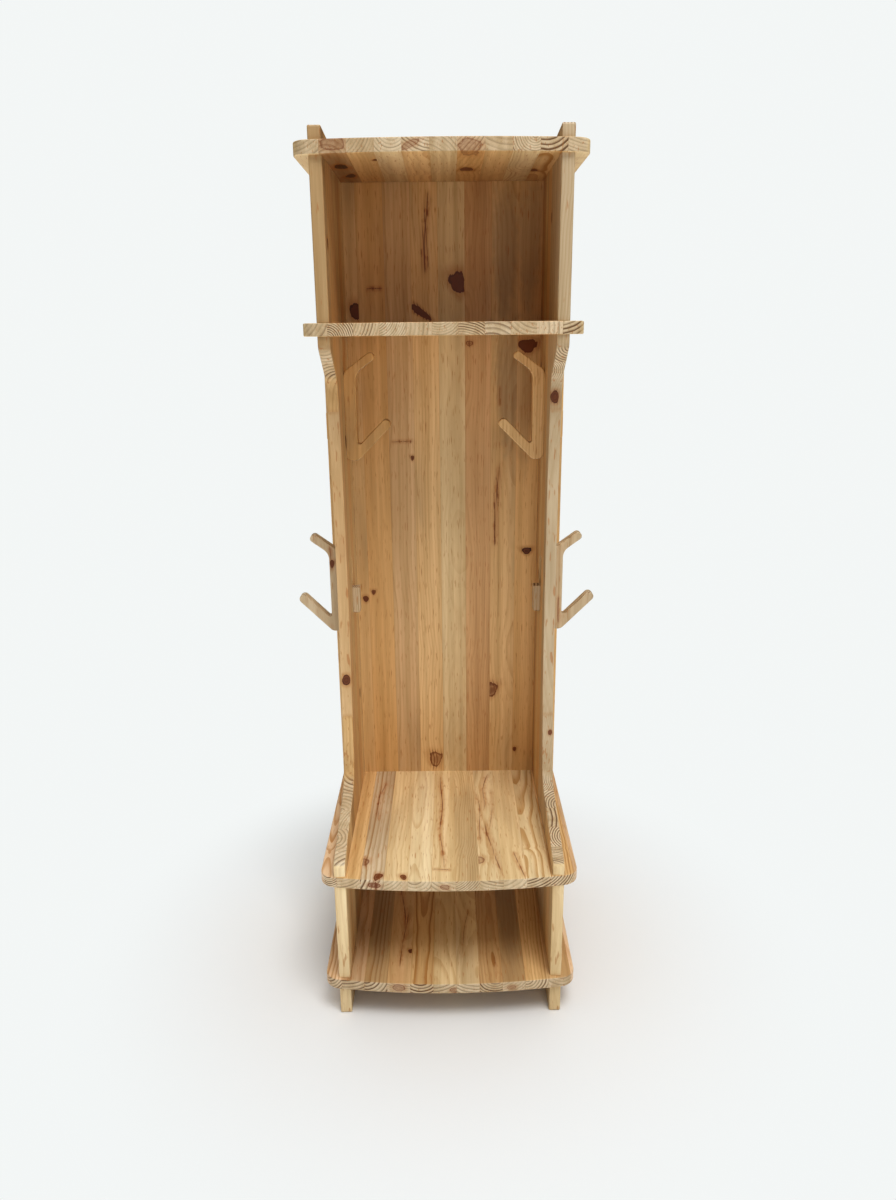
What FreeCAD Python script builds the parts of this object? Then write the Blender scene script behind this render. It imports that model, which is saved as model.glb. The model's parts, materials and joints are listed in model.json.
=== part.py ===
"""Open frame wardrobe made of slotted pine boards.

Two side panels with a swept front edge stand on the floor. Four boards slide into them from the
front in cross-lap joints, a back panel drops into them from above, and four hook plates hang through
slots in the sides by a lip, so that each can be lifted out.

X runs across the front, Y from front to back and Z up from the floor, all in millimetres.
"""
import FreeCAD
import Part
import Sketcher
import math
import os

# Driving sizes. A reach is measured forward from the front face of the back panel.
SIZES = {
    # Boards and their joints
    "board_thickness": 27.0,
    "overall_width": 600.0,
    "ear_overhang": 33.5,
    "joint_clearance": 0.3,
    "cut_overrun": 40.0,
    # Top faces of three boards above the floor, and the clear height over the fourth
    "top_shelf_height": 1950.0,
    "hat_space_height": 320.0,
    "seat_height": 381.0,
    "bottom_board_height": 103.0,
    # Front edges of the four boards, at the middle of the bow
    "top_shelf_reach": 354.0,
    "middle_shelf_reach": 350.0,
    "seat_reach": 531.0,
    "bottom_board_reach": 537.0,
    "shelf_bow": 20.0,
    "seat_bow": 25.0,
    "front_corner_radius": 38.0,
    "rear_corner_radius": 10.0,
    # Side panel outline
    "upper_side_reach": 331.0,
    "lower_side_reach": 510.0,
    "horn_front_rise": 28.0,
    "horn_rear_rise": 3.0,
    "shoulder_drop": 25.0,
    "waist_top_drop": 94.0,
    "waist_top_reach": 236.0,
    "waist_foot_rise": 105.0,
    "waist_foot_reach": 250.0,
    "waist_hollow": 34.0,
    "armrest_front_rise": 30.0,
    "small_corner_radius": 5.0,
    "shoulder_radius": 22.0,
    "waist_top_radius": 60.0,
    "waist_foot_radius": 72.0,
    "armrest_nose_radius": 14.0,
    # Hook plates: their place, then their outline from the wall and from their lowest point
    "hook_reach": 104.5,
    "hook_clearance": 0.5,
    "inner_hook_headroom": 31.0,
    "hook_spacing": 437.5,
    "hook_bar_width": 28.0,
    "lower_prong_reach": 105.0,
    "lower_prong_rise": 94.0,
    "lower_prong_width": 23.0,
    "lower_prong_slope_share": 1.0,
    "upper_prong_reach": 71.5,
    "upper_prong_rise": 249.5,
    "upper_prong_width": 20.0,
    "upper_prong_slope_share": 0.727,
    "prong_tip_share": 0.48,
    "hook_heel_radius": 13.0,
    "hook_sole_radius": 18.0,
    "hook_notch_radius": 5.0,
    "hook_crook_radius": 32.0,
    "hook_shoulder_radius": 20.0,
    "neck_rise": 84.0,
    "neck_height": 32.0,
    "lip_drop": 35.0,
    "lip_depth": 18.0,
    "lip_corner_radius": 6.0,
    "slot_headroom": 73.0,
}

# Two points closer than this are the same corner
SAME_PLACE = 0.001


class Size:
    """A number with the expression that gives it, so that what is drawn stays bound to the sheet."""

    def __init__(self, value, text):
        self.value = float(value)
        self.text = text

    def __add__(self, other):
        other = as_size(other)
        return Size(self.value + other.value, "(%s + %s)" % (self.text, other.text))

    def __sub__(self, other):
        other = as_size(other)
        return Size(self.value - other.value, "(%s - %s)" % (self.text, other.text))

    def __mul__(self, other):
        other = as_size(other)
        return Size(self.value * other.value, "(%s * %s)" % (self.text, other.text))

    def __truediv__(self, other):
        other = as_size(other)
        return Size(self.value / other.value, "(%s / %s)" % (self.text, other.text))

    def __neg__(self):
        return Size(-self.value, "(0 - %s)" % self.text)


def as_size(value):
    """A plain number as a Size."""
    if isinstance(value, Size):
        return value
    return Size(value, repr(value))


def root(size):
    """Square root of a Size."""
    return Size(math.sqrt(size.value), "sqrt(%s)" % size.text)


def make_sheet(doc):
    """The spreadsheet of driving sizes, one aliased cell for each."""
    sheet = doc.addObject("Spreadsheet::Sheet", "Sizes")
    for row, (name, value) in enumerate(SIZES.items(), start=1):
        sheet.set("A%d" % row, name)
        sheet.set("B%d" % row, str(value))
        sheet.setAlias("B%d" % row, name)
    doc.recompute()
    return {name: Size(value, "Sizes.%s" % name) for name, value in SIZES.items()}


# The two directions of each sketch plane, as places in (X, Y, Z)
PLANE_AXES = {"XY_Plane": (0, 1), "XZ_Plane": (0, 2), "YZ_Plane": (1, 2)}


def make_body(label):
    """An empty body under the name of its piece."""
    body = FreeCAD.ActiveDocument.addObject("PartDesign::Body", label)
    body.Label = label
    return body


def new_sketch(body, name, plane):
    """A sketch on one of the body's own origin planes."""
    sketch = body.newObject("Sketcher::SketchObject", name)
    role = [feature for feature in body.Origin.OriginFeatures if feature.Role == plane]
    sketch.AttachmentSupport = (role[0], [""])
    sketch.MapMode = "FlatFace"
    return sketch


def bind_point(sketch, index, position, corner, name):
    """Holds one end of a sketch line at its two sizes."""
    for kind, size in zip(("DistanceX", "DistanceY"), corner):
        size = as_size(size)
        number = sketch.addConstraint(Sketcher.Constraint(kind, index, position, size.value))
        sketch.renameConstraint(number, "%s_%s" % (name, kind[-1]))
        sketch.setExpression("Constraints.%s_%s" % (name, kind[-1]), size.text)


def arc_between(start, end, radius, turn):
    """Arc of under half a circle from start to end, turning left (1) or right (-1)."""
    chord = end - start
    middle = (start + end) * 0.5
    offset = math.sqrt(radius ** 2 - (chord.Length / 2) ** 2)
    left = FreeCAD.Vector(-chord.y, chord.x, 0) / chord.Length
    centre = middle + left * (turn * offset)
    angles = [math.atan2(point.y - centre.y, point.x - centre.x) for point in (start, end)]
    if turn < 0:
        angles.reverse()
    return Part.ArcOfCircle(Part.Circle(centre, FreeCAD.Vector(0, 0, 1), radius), *angles)


def draw_outline(sketch, name, corners, arcs=None):
    """Closed outline through corners, with an arc (radius, turn) for a side numbered by its first corner."""
    arcs = arcs or {}
    points = [FreeCAD.Vector(as_size(across).value, as_size(up).value, 0) for across, up in corners]
    count = len(corners)
    first = sketch.GeometryCount
    ends = []
    for side in range(count):
        start, end = points[side], points[(side + 1) % count]
        if side in arcs:
            radius, turn = arcs[side]
            sketch.addGeometry(arc_between(start, end, radius.value, turn))
            ends.append((1, 2) if turn > 0 else (2, 1))
        else:
            sketch.addGeometry(Part.LineSegment(start, end))
            ends.append((1, 2))
    for side in range(count):
        after = (side + 1) % count
        sketch.addConstraint(Sketcher.Constraint("Coincident", first + side, ends[side][1],
                                                 first + after, ends[after][0]))
        bind_point(sketch, first + side, ends[side][0], corners[side], "%s%d" % (name, side))
    for side, (radius, turn) in arcs.items():
        number = sketch.addConstraint(Sketcher.Constraint("Radius", first + side, radius.value))
        sketch.renameConstraint(number, "%s%d_radius" % (name, side))
        sketch.setExpression("Constraints.%s%d_radius" % (name, side), radius.text)


def rectangle(low, high):
    """Four corners of a rectangle from its low and high corners."""
    return [low, (high[0], low[1]), high, (low[0], high[1])]


def pad(body, sketch, depth):
    """Raises a sketch into a board."""
    feature = body.newObject("PartDesign::Pad", sketch.Name + "Board")
    feature.Profile = sketch
    feature.setExpression("Length", depth.text)
    FreeCAD.ActiveDocument.recompute()


def cut_through(body, sketch):
    """Cuts a sketch right through the board, and makes sure that it took wood away."""
    before = body.Shape.Volume
    feature = body.newObject("PartDesign::Pocket", sketch.Name + "Cut")
    feature.Profile = sketch
    feature.Type = "ThroughAll"
    feature.Reversed = True
    FreeCAD.ActiveDocument.recompute()
    if not body.Shape.Volume < before:
        raise RuntimeError("%s cut nothing" % feature.Name)


def round_corners(body, plane, corners, radius):
    """Rounds the edges that stand square to a sketch plane at the given corners."""
    base = body.Tip
    across, up = PLANE_AXES[plane]
    names = []
    for corner in corners:
        wanted = [as_size(value).value for value in corner]
        for number, edge in enumerate(base.Shape.Edges, start=1):
            ends = [vertex.Point for vertex in edge.Vertexes]
            offsets = [math.hypot(end[across] - wanted[0], end[up] - wanted[1]) for end in ends]
            if len(offsets) == 2 and max(offsets) < SAME_PLACE:
                names.append("Edge%d" % number)
    if len(names) != len(corners):
        raise RuntimeError("%s: %d corners found of %d" % (body.Label, len(names), len(corners)))
    feature = body.newObject("PartDesign::Fillet", "%sRound%d" % (body.Name, len(body.Group)))
    feature.Base = (base, names)
    feature.setExpression("Radius", radius.text)
    FreeCAD.ActiveDocument.recompute()


def place(body, x, y, z, turned=False):
    """Puts a body in the frame, bound to the sheet, turned half round the upright axis if asked."""
    angle = 180 if turned else 0
    body.Placement.Rotation = FreeCAD.Rotation(FreeCAD.Vector(0, 0, 1), angle)
    for axis, size in zip("xyz", (x, y, z)):
        body.setExpression("Placement.Base.%s" % axis, as_size(size).text)


class Layout:
    """Places that several pieces share, worked out from the driving sizes."""

    def __init__(self, size):
        self.thickness = size["board_thickness"]
        self.half_width = size["overall_width"] / 2
        self.outer_face = self.half_width - size["ear_overhang"]
        self.inner_face = self.outer_face - self.thickness
        self.sides = (("left", -self.outer_face, -self.inner_face),
                      ("right", self.inner_face, self.outer_face))
        self.rear = self.thickness + size["ear_overhang"]
        self.back_face = (size["bottom_board_reach"] - self.rear) / 2
        self.upper_lap = (size["upper_side_reach"] - self.rear) / 2
        self.middle_lap = size["upper_side_reach"] / 2
        self.lower_lap = (size["lower_side_reach"] - self.rear) / 2
        self.top_underside = size["top_shelf_height"] - self.thickness
        self.middle_shelf_height = self.top_underside - size["hat_space_height"]
        self.middle_underside = self.middle_shelf_height - self.thickness
        self.back_lap = (size["seat_height"] + self.top_underside) / 2
        self.hook_top = size["upper_prong_rise"] + size["upper_prong_width"] / 2
        self.inner_hook_base = self.middle_underside - size["inner_hook_headroom"] - self.hook_top
        self.outer_hook_base = self.inner_hook_base - size["hook_spacing"]


def arc_radius(chord, rise):
    """Radius of the arc that rises by rise over the middle of its chord."""
    return chord * chord / (rise * 8) + rise / 2


def make_side_panel(label, size, lay, x):
    """One side panel: feet, armrest, hollow waist, upper cheek and horn in one board."""
    plane = "YZ_Plane"
    body = make_body(label)
    top = size["top_shelf_height"]
    foot_front = (-size["lower_side_reach"], 0)
    foot_rear = (lay.rear, 0)
    top_rear = (lay.rear, top + size["horn_rear_rise"])
    horn = (-size["upper_side_reach"], top + size["horn_front_rise"])
    shoulder = (-size["upper_side_reach"], lay.middle_underside - size["shoulder_drop"])
    waist_top = (-size["waist_top_reach"], lay.middle_underside - size["waist_top_drop"])
    waist_foot = (-size["waist_foot_reach"], size["seat_height"] + size["waist_foot_rise"])
    nose = (-size["lower_side_reach"], size["seat_height"] + size["armrest_front_rise"])
    lean = waist_top[0] - waist_foot[0]
    fall = waist_top[1] - waist_foot[1]
    waist_radius = arc_radius(root(lean * lean + fall * fall), size["waist_hollow"])
    corners = [waist_top, waist_foot, nose, foot_front, foot_rear, top_rear, horn, shoulder]
    outline = new_sketch(body, label + "Outline", plane)
    draw_outline(outline, "edge", corners, {0: (waist_radius, -1)})
    pad(body, outline, lay.thickness)
    round_corners(body, plane, [foot_front, foot_rear, top_rear, horn], size["small_corner_radius"])
    round_corners(body, plane, [shoulder], size["shoulder_radius"])
    round_corners(body, plane, [nose], size["armrest_nose_radius"])
    round_corners(body, plane, [waist_top], size["waist_top_radius"])
    round_corners(body, plane, [waist_foot], size["waist_foot_radius"])
    cut_board_notches(body, label, size, lay)
    cut_back_slot(body, label, size, lay)
    cut_hook_slots(body, label, size, lay)
    place(body, x, lay.back_face, 0)
    return body


def cut_board_notches(body, label, size, lay):
    """Notches in the front edge of a side panel that the four boards slide into."""
    notches = new_sketch(body, label + "Notches", "YZ_Plane")
    gap = size["joint_clearance"]
    for name, upper, reach, lap in (
            ("top_shelf", size["top_shelf_height"], size["upper_side_reach"], lay.upper_lap),
            ("middle_shelf", lay.middle_shelf_height, size["upper_side_reach"], lay.middle_lap),
            ("seat", size["seat_height"], size["lower_side_reach"], lay.lower_lap),
            ("bottom_board", size["bottom_board_height"], size["lower_side_reach"], lay.lower_lap)):
        low = (-reach - size["cut_overrun"], upper - lay.thickness)
        high = (gap - lap, upper + gap)
        draw_outline(notches, name, rectangle(low, high))
    cut_through(body, notches)


def cut_back_slot(body, label, size, lay):
    """Slot in the upper half of a side panel, open at the top, that the back panel drops into."""
    slot = new_sketch(body, label + "BackSlot", "YZ_Plane")
    gap = size["joint_clearance"]
    low = (-gap, lay.back_lap - gap)
    high = (lay.thickness + gap, size["top_shelf_height"] + size["horn_front_rise"] + size["cut_overrun"])
    draw_outline(slot, "slot", rectangle(low, high))
    cut_through(body, slot)


def cut_hook_slots(body, label, size, lay):
    """Upright slots through a side panel, tall enough for a hook's lip to pass and then drop."""
    slots = new_sketch(body, label + "HookSlots", "YZ_Plane")
    half = lay.thickness / 2 + size["hook_clearance"]
    for name, base in (("outer", lay.outer_hook_base), ("inner", lay.inner_hook_base)):
        bottom = base + size["neck_rise"]
        top = bottom + size["neck_height"] + size["slot_headroom"]
        low = (-size["hook_reach"] - half, bottom)
        high = (half - size["hook_reach"], top)
        draw_outline(slots, name, rectangle(low, high))
    cut_through(body, slots)


def make_board(label, size, lay, reach, bow, rear, lap, height):
    """A board with a bowed front edge, round corners and two slots from behind for the side panels."""
    plane = "XY_Plane"
    body = make_body(label)
    half = lay.half_width
    front = [(-half, bow - reach), (half, bow - reach)]
    back = [(half, rear), (-half, rear)]
    outline = new_sketch(body, label + "Outline", plane)
    draw_outline(outline, "edge", front + back, {0: (arc_radius(size["overall_width"], bow), 1)})
    pad(body, outline, lay.thickness)
    round_corners(body, plane, front, size["front_corner_radius"])
    round_corners(body, plane, back, size["rear_corner_radius"])
    slots = new_sketch(body, label + "Slots", plane)
    gap = size["joint_clearance"]
    for side, near, far in lay.sides:
        open_end = rear + size["cut_overrun"]
        draw_outline(slots, side, rectangle((near - gap, -lap - gap), (far + gap, open_end)))
    cut_through(body, slots)
    place(body, 0, lay.back_face, height - lay.thickness)
    return body


def make_back_panel(label, size, lay):
    """The back panel, standing on the seat, with two slots from below for the side panels."""
    plane = "XZ_Plane"
    body = make_body(label)
    gap = size["joint_clearance"]
    height = lay.top_underside - size["seat_height"] - gap
    outline = new_sketch(body, label + "Outline", plane)
    draw_outline(outline, "edge", rectangle((-lay.half_width, 0), (lay.half_width, height)))
    pad(body, outline, lay.thickness)
    slots = new_sketch(body, label + "Slots", plane)
    slot_top = lay.back_lap - size["seat_height"] + gap
    for side, near, far in lay.sides:
        draw_outline(slots, side, rectangle((near - gap, -size["cut_overrun"]), (far + gap, slot_top)))
    cut_through(body, slots)
    place(body, 0, lay.back_face + lay.thickness, size["seat_height"])
    return body


def prong(reach, rise, width, slope):
    """Lower and upper corner of a prong's square end, from the middle of that end."""
    run = width / 2 / root(slope * slope + 1)
    return (reach + run * slope, rise - run), (reach - run * slope, rise + run)


def make_hook(label, size, lay, wall, base, turned):
    """A hook plate: upright bar, two rising prongs, and a neck and hanging lip that go through the wall."""
    plane = "XZ_Plane"
    body = make_body(label)
    low_slope, high_slope = size["lower_prong_slope_share"], size["upper_prong_slope_share"]
    low_under, low_over = prong(size["lower_prong_reach"], size["lower_prong_rise"],
                                size["lower_prong_width"], low_slope)
    high_under, high_over = prong(size["upper_prong_reach"], size["upper_prong_rise"],
                                  size["upper_prong_width"], high_slope)
    bar = size["hook_bar_width"]
    heel = (0, 0)
    sole = (low_under[0] - low_under[1] / low_slope, 0)
    notch = (bar, low_over[1] - (low_over[0] - bar) * low_slope)
    crook = (bar, high_under[1] - (high_under[0] - bar) * high_slope)
    shoulder = (0, high_over[1] - high_over[0] * high_slope)
    neck_low = size["neck_rise"]
    neck_high = neck_low + size["neck_height"]
    lip_low = neck_low - size["lip_drop"]
    lip_near = -(lay.thickness + size["hook_clearance"] * 2)
    lip_far = lip_near - size["lip_depth"]
    outline = new_sketch(body, label + "Outline", plane)
    plate = [heel, sole, low_under, low_over, notch, crook, high_under, high_over, shoulder]
    tab = [(0, neck_high), (lip_far, neck_high), (lip_far, lip_low), (lip_near, lip_low),
           (lip_near, neck_low), (0, neck_low)]
    draw_outline(outline, "edge", plate + tab)
    pad(body, outline, lay.thickness)
    round_corners(body, plane, [heel], size["hook_heel_radius"])
    round_corners(body, plane, [sole], size["hook_sole_radius"])
    round_corners(body, plane, [low_under, low_over], size["lower_prong_width"] * size["prong_tip_share"])
    round_corners(body, plane, [notch], size["hook_notch_radius"])
    round_corners(body, plane, [crook], size["hook_crook_radius"])
    round_corners(body, plane, [high_under, high_over], size["upper_prong_width"] * size["prong_tip_share"])
    round_corners(body, plane, [shoulder], size["hook_shoulder_radius"])
    round_corners(body, plane, [(lip_far, lip_low)], size["lip_corner_radius"])
    middle = lay.back_face - size["hook_reach"]
    half = lay.thickness / 2
    place(body, wall, middle - half if turned else middle + half, base, turned)
    return body


def make_wardrobe(size):
    """All the pieces of the wardrobe."""
    lay = Layout(size)
    gap = size["hook_clearance"]
    inside = lay.inner_face - gap
    outside = lay.outer_face + gap
    shelf_bow, seat_bow = size["shelf_bow"], size["seat_bow"]
    against_back = -size["joint_clearance"]
    return [
        make_side_panel("left_side_panel", size, lay, -lay.outer_face),
        make_side_panel("right_side_panel", size, lay, lay.inner_face),
        make_back_panel("back_panel", size, lay),
        make_board("top_shelf", size, lay, size["top_shelf_reach"], shelf_bow, lay.rear, lay.upper_lap,
                   size["top_shelf_height"]),
        make_board("middle_shelf", size, lay, size["middle_shelf_reach"], shelf_bow, against_back,
                   lay.middle_lap, lay.middle_shelf_height),
        make_board("seat_board", size, lay, size["seat_reach"], seat_bow, lay.rear, lay.lower_lap,
                   size["seat_height"]),
        make_board("bottom_board", size, lay, size["bottom_board_reach"], seat_bow, lay.rear, lay.lower_lap,
                   size["bottom_board_height"]),
        make_hook("inner_hook_left", size, lay, -inside, lay.inner_hook_base, False),
        make_hook("inner_hook_right", size, lay, inside, lay.inner_hook_base, True),
        make_hook("outer_hook_left", size, lay, -outside, lay.outer_hook_base, True),
        make_hook("outer_hook_right", size, lay, outside, lay.outer_hook_base, False),
    ]


def check(doc, bodies):
    """Stops if any object failed or any piece isn't one sound solid."""
    for item in doc.Objects:
        if "Invalid" in item.State or "Error" in item.State:
            raise RuntimeError("%s failed: %s" % (item.Name, item.State))
    for body in bodies:
        shape = body.Shape
        if shape.isNull() or not shape.isValid() or len(shape.Solids) != 1:
            raise RuntimeError("%s is not one sound solid" % body.Label)


def main():
    doc = FreeCAD.newDocument("OpenFrameWardrobe")
    bodies = make_wardrobe(make_sheet(doc))
    doc.recompute()
    check(doc, bodies)
    os.makedirs("parts", exist_ok=True)
    for body in bodies:
        body.Shape.exportStep("parts/%s.step" % body.Label)
        box = body.Shape.BoundBox
        print("%-18s volume %9.0f  x %7.1f %7.1f  y %7.1f %7.1f  z %7.1f %7.1f" % (
            body.Label, body.Shape.Volume, box.XMin, box.XMax, box.YMin, box.YMax, box.ZMin, box.ZMax))


main()
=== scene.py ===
"""Open frame wardrobe of glued pine boards that plug into each other, with four lift-off hooks.

Every board is made again from its solid with eased edges, and gets pine that is cut from solid growth rings,
so faces, edges and end grain agree. The file is laid out as an add-on and run as a script.
"""

import json
import math
from collections import namedtuple

import bmesh
import bpy
from bpy.props import FloatProperty, FloatVectorProperty, PointerProperty
from mathutils import Matrix, Vector
from mathutils.bvhtree import BVHTree

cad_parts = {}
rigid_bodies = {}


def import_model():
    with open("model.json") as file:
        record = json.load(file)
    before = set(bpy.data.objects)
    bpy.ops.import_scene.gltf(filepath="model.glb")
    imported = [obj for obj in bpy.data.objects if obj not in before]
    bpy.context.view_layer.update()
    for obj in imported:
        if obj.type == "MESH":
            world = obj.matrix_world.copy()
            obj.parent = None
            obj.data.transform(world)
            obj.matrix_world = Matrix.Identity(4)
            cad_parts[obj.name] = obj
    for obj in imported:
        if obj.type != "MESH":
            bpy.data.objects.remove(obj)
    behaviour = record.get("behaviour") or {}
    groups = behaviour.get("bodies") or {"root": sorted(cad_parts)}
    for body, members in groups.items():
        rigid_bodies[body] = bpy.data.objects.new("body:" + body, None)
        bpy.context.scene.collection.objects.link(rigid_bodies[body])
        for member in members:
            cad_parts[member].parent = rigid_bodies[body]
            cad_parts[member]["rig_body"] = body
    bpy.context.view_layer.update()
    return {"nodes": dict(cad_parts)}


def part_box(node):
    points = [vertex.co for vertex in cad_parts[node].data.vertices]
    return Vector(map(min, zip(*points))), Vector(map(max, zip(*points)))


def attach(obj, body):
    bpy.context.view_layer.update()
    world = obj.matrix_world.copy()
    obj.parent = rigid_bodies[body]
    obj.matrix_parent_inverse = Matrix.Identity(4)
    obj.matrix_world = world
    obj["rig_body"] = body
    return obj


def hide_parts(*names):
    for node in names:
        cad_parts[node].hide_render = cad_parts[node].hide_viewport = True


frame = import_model()

bl_info = {
    "name": "Open frame wardrobe",
    "version": (1, 0, 0),
    "blender": (4, 5, 0),
    "location": "View3D > Sidebar > Wardrobe",
    "description": "Glued pine boards with eased edges, lift-off hooks and a plain studio",
    "category": "Object",
}

MM = 0.001


# Sizes and colours a user would change

def paint(red, green, blue):
    """A colour given as display values of 0 to 255, as the linear values that shaders use."""
    def linear(value):
        share = value / 255
        return share / 12.92 if share <= 0.04045 else ((share + 0.055) / 1.055) ** 2.4
    return linear(red), linear(green), linear(blue)


def length(name, description, default):
    """A length that a user can set, in metres."""
    return FloatProperty(name=name, description=description, default=default, min=0, unit="LENGTH",
                         precision=4)


def tint(name, description, default):
    """A wood or stage colour that a user can set."""
    return FloatVectorProperty(name=name, description=description, default=default, min=0, max=1, size=3,
                               subtype="COLOR")


class WardrobeSizes(bpy.types.PropertyGroup):
    """Lengths of the woodwork that the solids don't carry."""

    edge_round: length("Edge round", "Radius of the sanded arrises", 2.6 * MM)
    joint_reach: length("Joint reach", "An edge this near to another board is a joint and stays crisp",
                        1.2 * MM)
    board_stave: length("Board stave", "Width of a stave in the lying boards", 55 * MM)
    back_stave: length("Back stave", "Width of a stave in the back panel", 65 * MM)
    side_stave: length("Side stave", "Width of a stave in the side panels", 58 * MM)
    ring_gap: length("Ring gap", "Usual thickness of one year of growth", 5.8 * MM)


class WardrobeColours(bpy.types.PropertyGroup):
    """Tints of the staves and of the marks in the wood."""

    cream: tint("Cream", "Palest sapwood staves", paint(238, 216, 174))
    pale: tint("Pale", "Pale staves", paint(230, 203, 157))
    honey: tint("Honey", "Usual staves", paint(226, 189, 136))
    amber: tint("Amber", "Yellow-brown staves", paint(224, 182, 124))
    rose: tint("Rose", "Reddish staves", paint(228, 194, 156))
    grey: tint("Grey", "Grey-brown staves", paint(205, 183, 150))
    tan: tint("Tan", "Dull brown staves", paint(213, 177, 130))
    russet: tint("Russet", "Red-brown staves", paint(219, 177, 128))
    brown: tint("Brown", "Darkest heartwood staves", paint(202, 160, 112))
    umber: tint("Umber", "Darkest grey-brown staves", paint(190, 158, 115))
    late_wood: tint("Late wood", "What the dark half of a growth ring leaves of the light",
                    paint(214, 188, 156))
    end_grain: tint("End grain", "Sawn ends of the staves", paint(213, 191, 158))
    end_ring: tint("End ring", "Growth rings on a sawn end", paint(108, 80, 55))
    stain: tint("Stain", "Grey stain in the sapwood", paint(160, 135, 104))
    resin: tint("Resin", "Resin-soaked wood and short resin ducts", paint(176, 110, 52))
    knot: tint("Knot", "Heart of a knot", paint(118, 64, 32))
    bark: tint("Bark", "Bark rim and cracks of a knot", paint(52, 26, 14))


class WardrobeStudio(bpy.types.PropertyGroup):
    """The plain floor and the soft light."""

    floor_colour: tint("Floor", "Pale floor", paint(240, 240, 240))
    sky_strength: FloatProperty(name="Sky strength", description="Soft light from all round", default=0.9,
                                min=0)
    softbox_power: FloatProperty(name="Softbox power", description="Light above and in front", default=195,
                                 min=0, unit="POWER")
    fill_power: FloatProperty(name="Fill power", description="Broad light behind the camera", default=22,
                              min=0, unit="POWER")


def sizes():
    return bpy.context.scene.wardrobe_sizes


def colours():
    return bpy.context.scene.wardrobe_colours


def studio():
    return bpy.context.scene.wardrobe_studio


# Short calls for node trees

class Nodes:
    """Adds nodes to one tree, links sockets and sets plain values."""

    def __init__(self, tree):
        self.tree = tree

    def add(self, kind, **settings):
        node = self.tree.nodes.new(kind)
        for key, value in settings.items():
            setattr(node, key, value)
        return node

    def feed(self, socket, value):
        if isinstance(value, bpy.types.NodeSocket):
            self.tree.links.new(value, socket)
        else:
            socket.default_value = value

    def math(self, operation, *values, clamp=False):
        node = self.add("ShaderNodeMath", operation=operation, use_clamp=clamp)
        for socket, value in zip(node.inputs, values):
            self.feed(socket, value)
        return node.outputs[0]

    def vector(self, x, y, z):
        node = self.add("ShaderNodeCombineXYZ")
        for socket, value in zip(node.inputs, (x, y, z)):
            self.feed(socket, value)
        return node.outputs[0]

    def split(self, value):
        node = self.add("ShaderNodeSeparateXYZ")
        self.feed(node.inputs[0], value)
        return node.outputs

    def ramp(self, value, low, high):
        """A smooth step from 0 at low to 1 at high; high may be the smaller one."""
        node = self.add("ShaderNodeMapRange", interpolation_type="SMOOTHSTEP")
        self.feed(node.inputs["Value"], value)
        self.feed(node.inputs["From Min"], low)
        self.feed(node.inputs["From Max"], high)
        return node.outputs[0]

    def span(self, value, low, high):
        """A value of 0 to 1 as low to high."""
        return self.math("MULTIPLY_ADD", value, high - low, low)

    def noise(self, place, detail=2.0):
        """Smooth noise of 0 to 1, one lump for each unit of place."""
        node = self.add("ShaderNodeTexNoise")
        self.feed(node.inputs["Vector"], place)
        self.feed(node.inputs["Scale"], 1.0)
        self.feed(node.inputs["Detail"], detail)
        return node.outputs[0]

    def stretch(self, place, rates):
        """A place counted in lumps, with so many lumps to the metre along each axis."""
        node = self.add("ShaderNodeVectorMath", operation="MULTIPLY")
        self.feed(node.inputs[0], place)
        self.feed(node.inputs[1], rates)
        return node.outputs[0]

    def chance(self, place):
        """Three random values of 0 to 1 that stay the same over one place."""
        node = self.add("ShaderNodeTexWhiteNoise", noise_dimensions="3D")
        self.feed(node.inputs["Vector"], place)
        return self.split(node.outputs["Color"])

    def mix(self, share, first, second, blend="MIX"):
        node = self.add("ShaderNodeMix", data_type="RGBA", blend_type=blend)
        self.feed(node.inputs[0], share)
        self.feed(node.inputs[6], first)
        self.feed(node.inputs[7], second)
        return node.outputs[2]

    def group(self, tree, **values):
        """Places a node group; an input is named with _ for each space."""
        node = self.add("ShaderNodeGroup", node_tree=tree)
        for key, value in values.items():
            self.feed(node.inputs[key.replace("_", " ").capitalize()], value)
        return node.outputs


def colour4(value):
    return (*value, 1.0)


def new_group(name, inputs, outputs):
    """An empty node group with named sockets, and its two ends. A socket is a float, a vector or a colour."""
    tree = bpy.data.node_groups.new(name, "ShaderNodeTree")
    kinds = {"float": "NodeSocketFloat", "vector": "NodeSocketVector", "colour": "NodeSocketColor"}
    for label, kind in inputs.items():
        tree.interface.new_socket(label, in_out="INPUT", socket_type=kinds[kind])
    for label, kind in outputs.items():
        tree.interface.new_socket(label, in_out="OUTPUT", socket_type=kinds[kind])
    nodes = Nodes(tree)
    return tree, nodes, nodes.add("NodeGroupInput").outputs, nodes.add("NodeGroupOutput").inputs


# Shared effects of the pine

# Noise, in lumps to the metre across the staves, along them and through the board
RIPPLE_RATES = (28.0, 1.8, 28.0)
FIBRE_RATES = (520.0, 7.0, 520.0)
FLOW_RATES = (60.0, 1.3, 24.0)
CLOUD_RATES = (11.0, 1.7, 9.0)
DUCT_RATES = (340.0, 24.0, 150.0)
ROUGH_RATES = (95.0, 48.0, 95.0)
THREAD_RATES = (380.0, 9.0, 380.0)
SWAY_RATES = (7.0, 6.0, 7.0)

# Rows of the random tables, which keep the draws apart
STAVE_ROW = 1.7
FIGURE_ROW = 5.3
YEAR_ROW = 2.9
RISE_ROW = 4.0
STAVE_STEP = 7.31

# The log that a stave is sawn from: how far off its pith lies, how far it wanders, and how often to the metre
PITH_DISTANCE = (22 * MM, 105 * MM)
PITH_SWAY = 30 * MM
PITH_RISE = 75 * MM
WANDER_RATE = 2.2
RIPPLE_DEPTH = 4.5 * MM

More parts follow.
